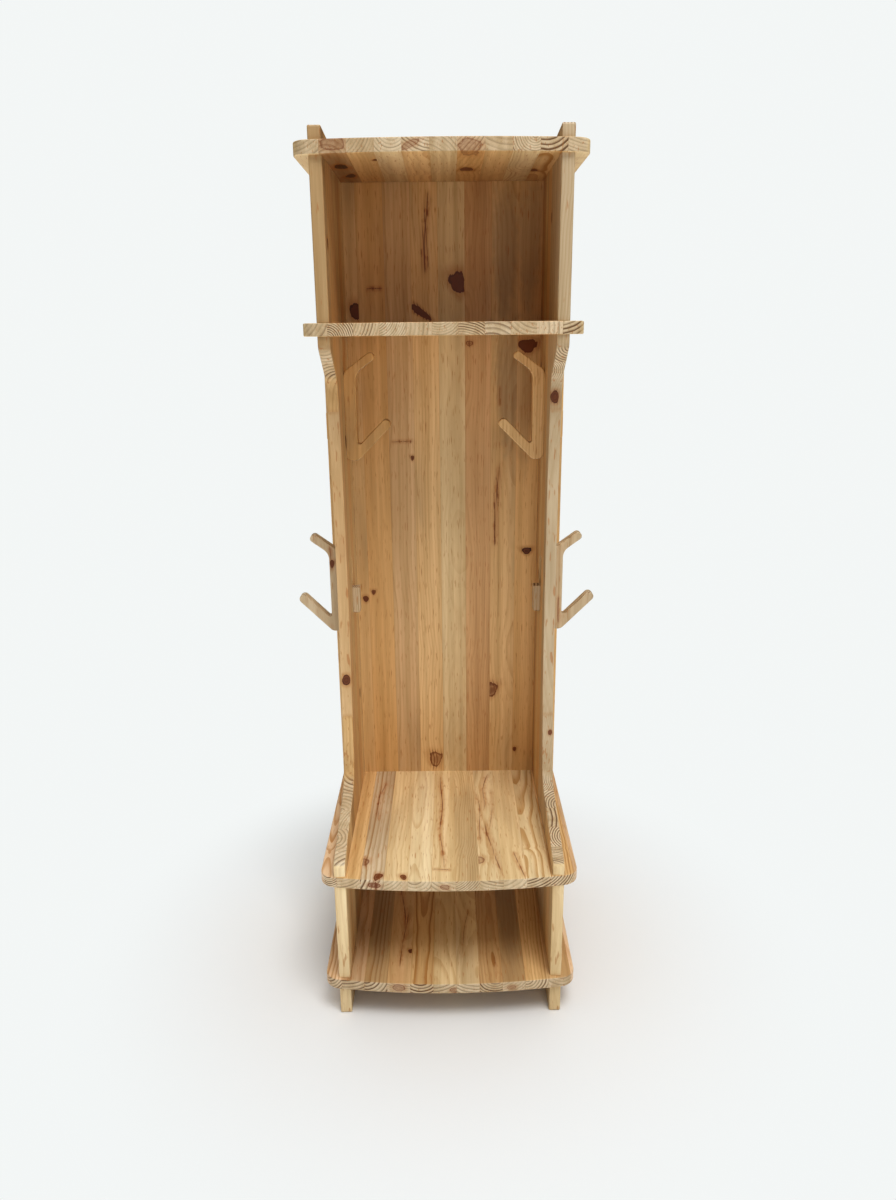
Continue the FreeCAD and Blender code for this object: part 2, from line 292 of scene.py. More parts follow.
# Growth rings, as shares of the usual gap, of one year and of full darkness
RING_GAPS = (0.75, 1.9)
DARKENING = (0.35, 0.88)
YEAR_END = (1.0, 0.94)
YEAR_DARKNESS = (0.3, 1.0)
STAVE_DARKNESS = (0.22, 1.1)
DARKNESS_CURVE = 1.5

# Noise between which a stain or a resin duct starts and is full, and a glue line by its share of the stave
CLOUDS = (0.50, 0.74)
CLOUD_SHARE = 0.6
DUCTS = (0.63, 0.72)
SEAM = (0.484, 0.498)


def staves_group():
    """Staves sawn from round logs: which stave, its growth rings, fibres, stain, resin ducts and glue lines.

    A place is given across the staves, along them and through the board, from its middle."""
    inputs = {"Place": "vector"}
    values = ("Stave width", "Stave start", "Seed", "Ring gap", "Flatness", "Bend")
    inputs.update(dict.fromkeys(values, "float"))
    outputs = ("Stave", "Tone", "Ring", "Fibre", "Flow", "Stain", "Duct", "Seam")
    tree, n, given, made = new_group("Pine staves", inputs, dict.fromkeys(outputs, "float"))
    across, along, depth = n.split(given["Place"])
    counted = n.math("DIVIDE", n.math("ADD", across, given["Stave start"]), given["Stave width"])
    stave = n.math("FLOOR", counted)
    in_stave = n.math("SUBTRACT", n.math("FRACT", counted), 0.5)
    luck = n.chance(n.vector(stave, given["Seed"], STAVE_ROW))
    more_luck = n.chance(n.vector(stave, given["Seed"], FIGURE_ROW))
    shift = n.math("MULTIPLY_ADD", stave, STAVE_STEP, given["Seed"])

    # The pith of the log lies at any angle and wanders along the stave, so flat cuts show long flames.
    slow = n.math("MULTIPLY", along, WANDER_RATE)
    sway = n.math("SUBTRACT", n.noise(n.vector(shift, slow, 0.0)), 0.5)
    rise = n.math("SUBTRACT", n.noise(n.vector(slow, shift, RISE_ROW)), 0.5)
    far = n.span(luck[0], *PITH_DISTANCE)
    free_angle = n.math("MULTIPLY", luck[1], math.tau)
    swing = n.math("SUBTRACT", 1.0, given["Flatness"])
    angle = n.math("MULTIPLY_ADD", n.math("SUBTRACT", free_angle, math.pi / 2), swing, math.pi / 2)
    pith_side = n.math("MULTIPLY_ADD", sway, PITH_SWAY, n.math("MULTIPLY", far, n.math("COSINE", angle)))
    pith_depth = n.math("MULTIPLY_ADD", rise, PITH_RISE, n.math("MULTIPLY", far, n.math("SINE", angle)))
    from_side = n.math("SUBTRACT", n.math("MULTIPLY", in_stave, given["Stave width"]), pith_side)
    from_depth = n.math("SUBTRACT", depth, pith_depth)
    radius = n.math("SQRT", n.math("MULTIPLY_ADD", from_side, from_side, n.math("POWER", from_depth, 2.0)))
    ripple = n.noise(n.stretch(given["Place"], RIPPLE_RATES))
    waved = n.math("ADD", n.math("MULTIPLY_ADD", ripple, RIPPLE_DEPTH, radius), given["Bend"])
    gap = n.math("MULTIPLY", given["Ring gap"], n.span(luck[2], *RING_GAPS))
    years = n.math("DIVIDE", waved, gap)
    part = n.math("FRACT", years)
    late = n.math("MULTIPLY", n.ramp(part, *DARKENING), n.ramp(part, *YEAR_END))
    year_luck = n.chance(n.vector(n.math("FLOOR", years), shift, YEAR_ROW))
    clear = n.span(n.math("POWER", more_luck[0], DARKNESS_CURVE), *STAVE_DARKNESS)
    strength = n.math("MULTIPLY", n.span(year_luck[0], *YEAR_DARKNESS), clear)
    n.feed(made["Ring"], n.math("MULTIPLY", late, strength))

    moved = n.add("ShaderNodeVectorMath", operation="ADD")
    n.feed(moved.inputs[0], given["Place"])
    n.feed(moved.inputs[1], n.vector(0.0, shift, 0.0))
    n.feed(made["Fibre"], n.noise(n.stretch(given["Place"], FIBRE_RATES), detail=3.0))
    n.feed(made["Flow"], n.noise(n.stretch(moved.outputs[0], FLOW_RATES), detail=3.0))
    clouds = n.ramp(n.noise(n.stretch(moved.outputs[0], CLOUD_RATES), detail=3.0), *CLOUDS)
    n.feed(made["Stain"], n.math("MULTIPLY", clouds, CLOUD_SHARE))
    n.feed(made["Duct"], n.ramp(n.noise(n.stretch(given["Place"], DUCT_RATES), detail=1.0), *DUCTS))
    n.feed(made["Seam"], n.ramp(n.math("ABSOLUTE", in_stave), *SEAM))
    n.feed(made["Stave"], stave)
    n.feed(made["Tone"], more_luck[1])
    return tree


def mark_start(name):
    """The beginning that knots and streaks share: a place counted in shares of the mark's reach."""
    inputs = dict.fromkeys(("Place", "Centre", "Reach", "Turn"), "vector")
    values = ("Stave", "Own stave", "Strength", "Push", "Rough", "Threads", "Sway", "Heart", "Halo", "Bend")
    inputs.update(dict.fromkeys(values, "float"))
    tree, n, given, made = new_group(name, inputs, dict.fromkeys(("Heart", "Halo", "Bend"), "float"))
    offset = n.add("ShaderNodeVectorMath", operation="SUBTRACT")
    n.feed(offset.inputs[0], given["Place"])
    n.feed(offset.inputs[1], given["Centre"])
    turned = n.add("ShaderNodeVectorRotate", rotation_type="EULER_XYZ")
    n.feed(turned.inputs["Vector"], offset.outputs[0])
    n.feed(turned.inputs["Rotation"], given["Turn"])
    shares = n.add("ShaderNodeVectorMath", operation="DIVIDE")
    n.feed(shares.inputs[0], turned.outputs[0])
    n.feed(shares.inputs[1], given["Reach"])
    same_stave = n.math("COMPARE", given["Stave"], given["Own stave"], 0.5)
    seen = n.math("MULTIPLY", same_stave, given["Strength"])
    return tree, n, given, made, n.split(shares.outputs[0]), seen


# Knots, in shares of the knot's reach and of full darkness
KNOT_TAPER = 0.35
KNOT_RAGGED = 0.7
KNOT_RING_TURNS = 11.0
KNOT_THREAD_TURNS = 6.0
KNOT_FILL = 0.66
KNOT_FILL_SWING = 0.10
KNOT_FILL_CURVE = 1.9
KNOT_RIM = (0.45, 0.95)
KNOT_RIM_DARKNESS = (0.0, 0.86)
KNOT_RIM_CURVE = 1.6
KNOT_EDGE = (1.06, 0.94)
KNOT_HALO = (2.0, 0.8)
KNOT_PUSH_FALL = 0.5


def knot_group():
    """A drop-shaped knot added to the marks before it. It ends at the glue line of the stave it grew in.

    A weak knot is a live one: a dark rim around a heart that is little darker than the wood."""
    tree, n, given, made, (across, along, depth), seen = mark_start("Pine knot")
    slimmer = n.math("MULTIPLY_ADD", along, -KNOT_TAPER, 1.0)
    length_of = n.add("ShaderNodeVectorMath", operation="LENGTH")
    n.feed(length_of.inputs[0], n.vector(n.math("MULTIPLY", across, slimmer), along, depth))
    away = length_of.outputs["Value"]
    ragged = n.math("MULTIPLY_ADD", n.math("SUBTRACT", given["Rough"], 0.5), KNOT_RAGGED, away)
    ring_turns = n.math("MULTIPLY", ragged, KNOT_RING_TURNS)
    turns = n.math("MULTIPLY_ADD", given["Threads"], KNOT_THREAD_TURNS, ring_turns)
    lines = n.math("MULTIPLY_ADD", n.math("SINE", turns), KNOT_FILL_SWING, KNOT_FILL)
    filled = n.math("MULTIPLY", lines, n.math("POWER", seen, KNOT_FILL_CURVE))
    outline = n.span(n.ramp(ragged, *KNOT_RIM), *KNOT_RIM_DARKNESS)
    rim = n.math("MULTIPLY", outline, n.math("POWER", seen, KNOT_RIM_CURVE))
    heart = n.math("MULTIPLY", n.math("MAXIMUM", filled, rim), n.ramp(ragged, *KNOT_EDGE))
    halo = n.math("MULTIPLY", n.ramp(ragged, *KNOT_HALO), seen)
    fall = n.math("MULTIPLY_ADD", n.math("POWER", away, 2.0), KNOT_PUSH_FALL, 1.0)
    push = n.math("DIVIDE", given["Push"], fall)
    n.feed(made["Heart"], n.math("MAXIMUM", given["Heart"], heart))
    n.feed(made["Halo"], n.math("MAXIMUM", given["Halo"], halo))
    n.feed(made["Bend"], n.math("ADD", given["Bend"], push))
    return tree


# Resin streaks, in shares of the streak's reach, of the noise and of full darkness
STREAK_SWAY = 2.4
STREAK_ENDS = (1.0, 0.6)
STREAK_LINE = (0.20, 0.05)
STREAK_BAND = (1.25, 0.05)
STREAK_BREAKS = (0.30, 0.60)
STREAK_DARKNESS = (0.10, 0.36)
SPECKS = (0.50, 0.66)
SPECK_STRENGTH = (0.52, 1.0)


def streak_group():
    """A thin resin line that wanders along the grain in a speckled band, added to the marks before it."""
    tree, n, given, made, (across, along, _), seen = mark_start("Resin streak")
    wander = n.math("MULTIPLY_ADD", n.math("SUBTRACT", given["Sway"], 0.5), STREAK_SWAY, across)
    off_line = n.math("ABSOLUTE", wander)
    fading = n.math("MULTIPLY", n.ramp(n.math("ABSOLUTE", along), *STREAK_ENDS), seen)
    broken = n.span(n.ramp(given["Threads"], *STREAK_BREAKS), *STREAK_DARKNESS)
    heart = n.math("MULTIPLY", n.math("MULTIPLY", n.ramp(off_line, *STREAK_LINE), fading), broken)
    speckle = n.span(n.ramp(given["Rough"], *SPECKS), *SPECK_STRENGTH)
    halo = n.math("MULTIPLY", n.math("MULTIPLY", n.ramp(off_line, *STREAK_BAND), fading), speckle)
    n.feed(made["Heart"], n.math("MAXIMUM", given["Heart"], heart))
    n.feed(made["Halo"], n.math("MAXIMUM", given["Halo"], halo))
    n.feed(made["Bend"], given["Bend"])
    return tree


# Finish: how much of one colour goes over another, and over which range of a mark it comes in
STAIN_SHARE = 0.65
SAWN_RING_GAIN = 1.9
SAWN_SHARE = 0.9
DUCT_SHARE = 0.58
SEAM_SHARE = 0.25
HALO_SHARE = 0.6
SOAKED_RINGS = (0.12, 0.55)
SOAKED_SHARE = 0.8
HEART_TO_KNOT = (0.05, 0.5)
HEART_TO_BARK = (0.6, 0.95)

# Finish: light and dark along the grain, which also shifts green and blue
FLOW_SHADE = (0.66, 1.28)
FIBRE_SHADE = (-0.13, 0.13)
TONE_SHADE = (-0.09, 0.09)
GREEN_CURVE = 1.3
BLUE_CURVE = 1.8

# Finish: roughness and height
FACE_ROUGHNESS = 0.40
END_ROUGHER = 0.14
FIBRE_ROUGHER = 0.16
KNOT_SMOOTHER = 0.10
RING_HEIGHT = 0.55
FIBRE_HEIGHT = 0.35
SEAM_DIP = 0.8
KNOT_DIP = 0.5


def finish_group():
    """Colour, roughness and height of oiled pine from its tint and its marks."""
    marks = ("Tone", "Ring", "Figure", "Fibre", "Flow", "Stain", "Duct", "Seam", "Heart", "Halo", "End")
    inputs = dict.fromkeys(marks, "float")
    tints = ("Tint", "Late wood", "End grain", "End ring", "Stain tint", "Resin", "Knot", "Bark")
    inputs.update(dict.fromkeys(tints, "colour"))
    outputs = {"Colour": "colour", "Roughness": "float", "Height": "float"}
    tree, n, given, made = new_group("Oiled pine", inputs, outputs)
    # The stain mask is grey stain in the wood, and on the back panel also painted shade.
    stain_and_painted_shade = n.mix(n.math("MULTIPLY", given["Stain"], STAIN_SHARE), given["Tint"], given["Stain tint"])
    figured = n.math("MULTIPLY", given["Ring"], given["Figure"], clamp=True)
    faced = n.mix(figured, stain_and_painted_shade, given["Late wood"], "MULTIPLY")
    sawn_rings = n.math("MULTIPLY", given["Ring"], SAWN_RING_GAIN, clamp=True)
    sawn = n.mix(sawn_rings, given["End grain"], given["End ring"])
    ringed = n.mix(n.math("MULTIPLY", given["End"], SAWN_SHARE), faced, sawn)
    shade = n.math("ADD", n.span(given["Flow"], *FLOW_SHADE), n.span(given["Fibre"], *FIBRE_SHADE))
    shade = n.math("ADD", shade, n.span(given["Tone"], *TONE_SHADE))
    warm = n.vector(shade, n.math("POWER", shade, GREEN_CURVE), n.math("POWER", shade, BLUE_CURVE))
    flowed = n.mix(1.0, ringed, warm, "MULTIPLY")
    ducted = n.mix(n.math("MULTIPLY", given["Duct"], DUCT_SHARE), flowed, given["Resin"])
    glued = n.mix(n.math("MULTIPLY", given["Seam"], SEAM_SHARE), ducted, given["Resin"])
    haloed = n.mix(n.math("MULTIPLY", given["Halo"], HALO_SHARE), glued, given["Resin"])
    soaked = n.ramp(n.math("MULTIPLY", given["Ring"], given["Halo"]), *SOAKED_RINGS)
    lined = n.mix(n.math("MULTIPLY", soaked, SOAKED_SHARE), haloed, given["Knot"])
    hearted = n.mix(n.ramp(given["Heart"], *HEART_TO_KNOT), lined, given["Knot"])
    n.feed(made["Colour"], n.mix(n.ramp(given["Heart"], *HEART_TO_BARK), hearted, given["Bark"]))
    sanded = n.math("MULTIPLY_ADD", given["End"], END_ROUGHER, FACE_ROUGHNESS)
    rough = n.math("MULTIPLY_ADD", given["Fibre"], FIBRE_ROUGHER, sanded)
    n.feed(made["Roughness"], n.math("MULTIPLY_ADD", given["Heart"], -KNOT_SMOOTHER, rough))
    fibre_ridge = n.math("MULTIPLY", given["Fibre"], FIBRE_HEIGHT)
    ridge = n.math("MULTIPLY_ADD", given["Ring"], RING_HEIGHT, fibre_ridge)
    seam_dip = n.math("MULTIPLY", given["Seam"], SEAM_DIP)
    dip = n.math("ADD", seam_dip, n.math("MULTIPLY", given["Heart"], KNOT_DIP))
    n.feed(made["Height"], n.math("SUBTRACT", ridge, dip))
    return tree


# Pine materials

# A mark has its centre and reach in mm and its tilt in degrees.
Mark = namedtuple("Mark", "kind centre reach tilt strength")

# A board has its axes across, along and through the staves, the width and start of the staves in metres, a seed
# for its draws, how flat the growth rings lie, how strongly they show, and its staves' tints.
Board = namedtuple("Board", "axes stave start seed flatness figure tints marks")

THROUGH = 35    # mm that a mark reaches through a board, each way
RING_PUSH = 0.7    # how far a knot pushes the growth rings, as a share of its smallest reach
END_FACING = (0.45, 0.80)
BUMP_STRENGTH = 0.35
BUMP_HEIGHT = 0.4 * MM
GLOSS = 0.38


def knot(across, along, radius, stretch=1.0, tilt=0.0, strength=1.0):
    """A knot on a board's broad faces, in mm, its length a share of its width, its tilt in degrees."""
    reach = (radius, radius * stretch, THROUGH)
    return Mark("Pine knot", (across, along, 0), reach, (0, 0, tilt), strength)


def streak(across, along, half_width, half_length, tilt=0.0, strength=1.0):
    """A thin resin line along the grain of the broad faces, somewhere within its half width."""
    reach = (half_width, half_length, THROUGH)
    return Mark("Resin streak", (across, along, 0), reach, (0, 0, tilt), strength)


def stain(across, along, half_width, half_length, strength=1.0):
    """A wide grey-brown stain with a soft edge, which is the halo of a knot. On the back panel some of these
    marks are painted shade as well as stain.
    """
    reach = (half_width, half_length, THROUGH)
    return Mark("Stain", (across, along, 0), reach, (0, 0, 0), strength)


def end_knot(across, along, depth, radius, stretch=1.0, tilt=0.0, strength=1.0):
    """A knot on the sawn end of a stave, wider than high by stretch."""
    reach = (radius * stretch, 2 * THROUGH, radius)
    return Mark("Pine knot", (across, along, depth), reach, (0, tilt, 0), strength)


def edge_knot(across, along, depth, radius, stretch=1.0, tilt=0.0, strength=1.0):
    """A knot on a board's long edge."""
    reach = (2 * THROUGH, radius * stretch, radius)
    return Mark("Pine knot", (across, along, depth), reach, (tilt, 0, 0), strength)


def effect(name):
    """A shared node group, built at its first use."""
    makers = {"Pine staves": staves_group, "Pine knot": knot_group, "Resin streak": streak_group,
              "Oiled pine": finish_group}
    return bpy.data.node_groups.get(name) or makers[name]()


def in_metres(lengths):
    return [value * MM for value in lengths]


def chain_marks(n, board, marks, shared):
    """Adds one group for each mark to the ones before it, and gives what they put out together."""
    found = {"heart": 0.0, "halo": 0.0, "bend": 0.0}
    for mark in marks:
        own_stave = math.floor((mark.centre[0] * MM + board.start) / board.stave)
        kind = "Resin streak" if mark.kind == "Resin streak" else "Pine knot"
        turn = [math.radians(angle) for angle in mark.tilt]
        push = RING_PUSH * mark.strength * min(mark.reach) * MM
        made = n.group(effect(kind), centre=in_metres(mark.centre), reach=in_metres(mark.reach), turn=turn,
                       strength=mark.strength, push=push, own_stave=own_stave, **shared, **found)
        found = {key: made[key.capitalize()] for key in found}
    return found


def pine(name, node_name, board):
    """Oiled pine for one board: its own staves, tints, knots and streaks."""
    material = bpy.data.materials.new(name)
    material.use_nodes = True
    n = Nodes(material.node_tree)
    shader = n.tree.nodes["Principled BSDF"]
    spot = n.add("ShaderNodeTexCoord")
    spots = n.split(spot.outputs["Object"])
    across, along, depth = ("XYZ".index(axis) for axis in board.axes)
    low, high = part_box(node_name)
    middle = (low[depth] + high[depth]) / 2
    place = n.vector(spots[across], spots[along], n.math("SUBTRACT", spots[depth], middle))
    counted = n.math("DIVIDE", n.math("ADD", spots[across], board.start), board.stave)
    shared = {
        "place": place,
        "stave": n.math("FLOOR", counted),
        "rough": n.noise(n.stretch(place, ROUGH_RATES)),
        "threads": n.noise(n.stretch(place, THREAD_RATES)),
        "sway": n.noise(n.stretch(place, SWAY_RATES), detail=0.0),
    }
    # Stain marks are chained apart and darken the wood through the stain tint; on the back panel they carry
    # painted shade as well as stain.
    stain_and_painted_shade_marks = [mark for mark in board.marks if mark.kind == "Stain"]
    found = chain_marks(n, board, [mark for mark in board.marks if mark not in stain_and_painted_shade_marks], shared)
    stain_and_painted_shade = chain_marks(n, board, stain_and_painted_shade_marks, shared)["halo"]
    grain = n.group(effect("Pine staves"), place=place, stave_width=board.stave, stave_start=board.start,
                    seed=board.seed, flatness=board.flatness, ring_gap=sizes().ring_gap, bend=found["bend"])
    tints = n.add("ShaderNodeValToRGB")
    tints.color_ramp.interpolation = "CONSTANT"
    fill_ramp(tints.color_ramp, board.tints)
    n.feed(tints.inputs[0], n.math("DIVIDE", n.math("ADD", grain["Stave"], 0.5), float(len(board.tints))))
    facing = n.split(spot.outputs["Normal"])
    end = n.ramp(n.math("ABSOLUTE", facing[along]), *END_FACING)
    wood_tints = ("late_wood", "end_grain", "end_ring", "resin", "knot", "bark")
    wood = {key: colour4(getattr(colours(), key)) for key in wood_tints}
    seen = {key.lower(): grain[key] for key in ("Tone", "Ring", "Fibre", "Flow", "Duct", "Seam")}
    seen["stain"] = n.math("MAXIMUM", grain["Stain"], stain_and_painted_shade)
    oiled = n.group(effect("Oiled pine"), heart=found["heart"], halo=found["halo"], end=end,
                    figure=board.figure, tint=tints.outputs[0], stain_tint=colour4(colours().stain),
                    **wood, **seen)
    bump = n.add("ShaderNodeBump")
    n.feed(bump.inputs["Strength"], BUMP_STRENGTH)
    n.feed(bump.inputs["Distance"], BUMP_HEIGHT)
    n.feed(bump.inputs["Height"], oiled["Height"])
    n.feed(shader.inputs["Base Color"], oiled["Colour"])
    n.feed(shader.inputs["Roughness"], oiled["Roughness"])
    n.feed(shader.inputs["Normal"], bump.outputs[0])
    n.feed(shader.inputs["Specular IOR Level"], GLOSS)
    return material


def fill_ramp(ramp, names):
    """One constant step of the ramp for each stave's tint."""
    for index, name in enumerate(names):
        if index < 2:
            step = ramp.elements[index]
            step.position = index / len(names)
        else:
            step = ramp.elements.new(index / len(names))
        step.color = colour4(getattr(colours(), name))


# Boards with eased edges

WELD = 0.01 * MM    # corners of the solid nearer than this are one
FLAT_ANGLE = math.radians(0.1)
ARRIS_ANGLE = math.radians(40)
SMOOTH_ANGLE = math.radians(38)
ROUND_STEPS = 3


def rest_of(node_name):
    """All solids except one, as a tree for the nearest distance."""
    points = []
    faces = []
    for name, node in frame["nodes"].items():
        if name == node_name:
            continue
        first = len(points)
        points.extend(vertex.co.copy() for vertex in node.data.vertices)
        faces.extend([first + index for index in face.vertices] for face in node.data.polygons)
    return BVHTree.FromPolygons(points, faces)


def eased_board(node_name, piece_name, board):
    """A board made again from its solid in pine.

    Free arrises are rounded; joints and inner corners stay crisp."""
    mesh = bmesh.new()
    mesh.from_mesh(frame["nodes"][node_name].data)
    bmesh.ops.remove_doubles(mesh, verts=mesh.verts, dist=WELD)
    bmesh.ops.dissolve_limit(mesh, angle_limit=FLAT_ANGLE, verts=mesh.verts, edges=mesh.edges)
    mesh.normal_update()
    others = rest_of(node_name)
    arrises = []
    for edge in mesh.edges:
        if len(edge.link_faces) != 2 or not edge.is_convex or edge.calc_face_angle() < ARRIS_ANGLE:
            continue
        middle = (edge.verts[0].co + edge.verts[1].co) / 2
        if others.find_nearest(middle, sizes().joint_reach)[0] is None:
            arrises.append(edge)
    bmesh.ops.bevel(mesh, geom=arrises, offset=sizes().edge_round, offset_type="OFFSET", segments=ROUND_STEPS,
                    profile=0.5, affect="EDGES", clamp_overlap=False)
    mesh.normal_update()
    for face in mesh.faces:
        face.smooth = True
    for edge in mesh.edges:
        edge.smooth = edge.calc_face_angle(math.pi) < SMOOTH_ANGLE
    data = bpy.data.meshes.new(piece_name)
    mesh.to_mesh(data)
    mesh.free()
    data.materials.append(pine("Pine of " + piece_name, node_name, board))
    piece = bpy.data.objects.new(piece_name, data)
    bpy.context.scene.collection.objects.link(piece)
    flat = piece.modifiers.new("Flat faces stay flat", "WEIGHTED_NORMAL")
    flat.keep_sharp = True
    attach(piece, frame["nodes"][node_name]["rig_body"])
    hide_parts(node_name)


# Tints and marks of each board, left to right or front to back, with places in mm of the part's frame

def side_board(seed, tints, marks):
    return Board(axes="YZX", stave=sizes().side_stave, start=280 * MM, seed=seed, flatness=0.3, figure=0.62,
                 tints=tints, marks=marks)


def left_side_board():
    # Stave 3 takes the darkest tint, umber, so that the front edge beside the hat box comes out darker. This is
    # painted shade on that edge, and it darkens the whole stave.
    tints = ("pale", "honey", "pale", "umber", "honey", "tan", "pale", "honey", "pale", "honey")
    return side_board(3.0, tints, [
        edge_knot(24, 753, 0, 10, 1.3),
        edge_knot(24, 1090, 3, 8, 3.0, strength=0.3),
        edge_knot(-200, 470, 4, 7, 3.0, strength=0.3),
        knot(-150, 520, 9, 1.4, tilt=10),
        knot(120, 1330, 10, 1.2),
        knot(200, 640, 8, 1.6),
        knot(-60, 1760, 9, 1.4),
        knot(140, 210, 10, 1.3),
    ])


def right_side_board():
    tints = ("pale", "honey", "pale", "grey", "grey", "grey", "honey", "pale", "tan", "honey")
    return side_board(11.0, tints, [
        edge_knot(5, 1440, -3, 9, 1.5),
        edge_knot(4, 610, 6, 5, 1.4, strength=0.8),
        knot(-120, 300, 10, 1.3),
        knot(180, 980, 9, 1.4),
        knot(60, 1820, 8, 1.3),
        knot(210, 1500, 7, 1.8),
    ])


def back_board():
    tints = ("honey", "honey", "amber", "tan", "honey", "pale", "russet", "honey", "amber", "amber")
    marks = [
        knot(34, 1697, 18, 1.6, tilt=-18, strength=0.92),
        knot(-214, 1633, 16, 1.4, strength=0.95),
        knot(-55, 1630, 8, 4.0, tilt=-56, strength=0.9),
        streak(-168, 1688, 9, 24, tilt=-86, strength=1.2),
        streak(-45, 1810, 13, 110, tilt=3, strength=1.3),
        knot(208, 1549, 23, 0.75, strength=0.9),
        knot(64, 1556, 9, 0.8, strength=0.6),
        streak(141, 1428, 7, 30),
        streak(-110, 1314, 8, 34, tilt=-88),
        knot(-84, 1275, 5, 1.4, strength=0.8),
        streak(131, 1150, 10, 130, tilt=3, strength=1.3),
        knot(214, 1027, 13, 0.75, strength=1.05),
        knot(-217, 898, 8, 1.2, strength=0.9),
        knot(-196, 917, 6, 1.2, strength=0.8),
        knot(123, 630, 15, 1.6, tilt=16, strength=0.68),
        knot(189, 448, 6, 1.2, strength=0.8),
        knot(-36, 418, 19, 1.3, strength=0.6),
        # The four stains below darken the right of the back: two behind the right inner hook and two in the
        # right of the hat box. They are partly grey stain in the wood and partly painted shade where those
        # parts lie in shadow.
        stain(162, 1440, 22, 120, strength=0.9),
        stain(202, 1430, 22, 130, strength=0.7),
        stain(150, 1760, 24, 110, strength=0.9),
        stain(208, 1780, 24, 110, strength=0.9),
    ]
    return Board(axes="XZY", stave=sizes().back_stave, start=338 * MM, seed=5.0, flatness=0.15, figure=0.42,
                 tints=tints, marks=marks)


def lying_board(start, seed, flatness, tints, marks):
    return Board(axes="XYZ", stave=sizes().board_stave, start=start * MM, seed=seed, flatness=flatness,
                 figure=1.3, tints=tints, marks=marks)


def top_board():
    tints = ("pale", "brown", "honey", "pale", "honey", "pale", "amber", "honey", "pale", "honey", "pale")
    return lying_board(299, 21.0, 0.35, tints, [
        stain(-215, 60, 30, 140, strength=0.9),
        knot(-216, 40, 16, 1.8, strength=1.15),
        knot(-206, 150, 11, 2.6, tilt=-14, strength=1.15),
        knot(-136, -32, 7, 1.3),
        knot(54, 80, 15, 1.6, strength=0.95),
        knot(202, 100, 9, 1.6, strength=0.95),
        end_knot(-216, -112, 4, 13, 2.0, strength=0.54),
        end_knot(-62, -112, 0, 6, 3.4, tilt=25, strength=0.54),
        end_knot(56, -112, -4, 13, 1.8, strength=0.52),
    ])


def middle_board():
    tints = ("pale", "honey", "amber", "pale", "honey", "pale", "honey", "grey", "pale", "honey", "cream")
    return lying_board(299, 27.0, 0.3, tints, [
        knot(-60, 20, 8, 1.5),
        knot(150, 60, 9, 1.4),
        knot(-180, 90, 7, 2.0),
    ])


def seat_surface():
    tints = ("rose", "honey", "grey", "pale", "cream", "pale", "pale", "cream", "pale", "cream", "honey",
             "rose")
    return lying_board(315, 33.0, 0.7, tints, [
        streak(-19, -18, 10, 262, tilt=-1, strength=1.3),
        streak(-17, -248, 9, 27, tilt=-88),
        knot(-204, -212, 16, 1.1, strength=0.58),
        knot(-165, -272, 9, 1.6, tilt=20, strength=0.8),
        knot(-105, -274, 8, 1.4, tilt=-15, strength=0.8),
        knot(72, -208, 15, 1.1, strength=0.55),
        streak(98, 120, 12, 120, tilt=6),
        streak(78, -10, 9, 150, tilt=-1),
        streak(112, 30, 8, 120, tilt=4, strength=0.9),
        streak(104, -150, 16, 140, tilt=-6),
        streak(166, -225, 12, 62, tilt=-8),
        streak(-182, 80, 14, 120, tilt=4, strength=0.9),
        streak(246, -130, 10, 110, tilt=-3, strength=0.7),
        end_knot(-172, -292, 0, 7, 2.0, strength=0.7),
        end_knot(-10, -292, -2, 7, 1.6, strength=0.58),
        stain(-178, -90, 20, 80, strength=0.6),
    ])


def shoe_surface():
    tints = ("rose", "rose", "umber", "tan", "honey", "pale", "pale", "tan", "umber", "honey", "tan", "rose")
    return lying_board(315, 39.0, 0.75, tints, [
        streak(-126, 40, 12, 170, tilt=-3, strength=1.1),
        streak(-118, -130, 10, 130, tilt=3, strength=1.1),
        knot(-98, -180, 6, 1.4),
        streak(109, -234, 9, 45, strength=0.7),
        streak(40, -110, 7, 110, tilt=6, strength=0.9),
        end_knot(-122, -296, 2, 10, 1.5, strength=0.56),
        end_knot(10, -296, -3, 7, 1.5, strength=0.56),
        stain(-178, -60, 20, 150, strength=0.8),
        stain(152, -20, 20, 150, strength=0.8),
        end_knot(146, -296, -2, 6, 1.8, strength=0.52),
    ])


# A hook is cut from one stave, so the staves are wider than a hook and all have its tint.
HOOK_STAVE = 160 * MM
HOOK_START = 400 * MM
HOOK_STAVES = 5


def hook_board(seed, tint_name, marks):
    return Board(axes="XZY", stave=HOOK_STAVE, start=HOOK_START, seed=seed, flatness=0.5, figure=0.62,
                 tints=(tint_name,) * HOOK_STAVES, marks=marks)


# Operators

class WARDROBE_OT_side_panels(bpy.types.Operator):
    """Two upright side panels with armrest, hollow waist and horn"""

    bl_idname = "wardrobe.side_panels"
    bl_label = "Side panels"

    def execute(self, context):
        eased_board("left_side_panel", "left_side", left_side_board())
        eased_board("right_side_panel", "right_side", right_side_board())
        return {"FINISHED"}


class WARDROBE_OT_back_panel(bpy.types.Operator):
    """The upright back panel between seat and top shelf"""

    bl_idname = "wardrobe.back_panel"
    bl_label = "Back panel"

    def execute(self, context):
        eased_board("back_panel", "back", back_board())
        return {"FINISHED"}


class WARDROBE_OT_shelves(bpy.types.Operator):
    """Top shelf and middle shelf with bowed front edges"""

    bl_idname = "wardrobe.shelves"
    bl_label = "Shelves"

    def execute(self, context):
        eased_board("top_shelf", "shelf_top", top_board())
        eased_board("middle_shelf", "shelf_middle", middle_board())
        return {"FINISHED"}


class WARDROBE_OT_bench(bpy.types.Operator):
    """Seat board and shoe board with bowed front edges"""

    bl_idname = "wardrobe.bench"
    bl_label = "Seat and shoe board"

    def execute(self, context):
        eased_board("seat_board", "seat", seat_surface())
        eased_board("bottom_board", "shoe_board", shoe_surface())
        return {"FINISHED"}


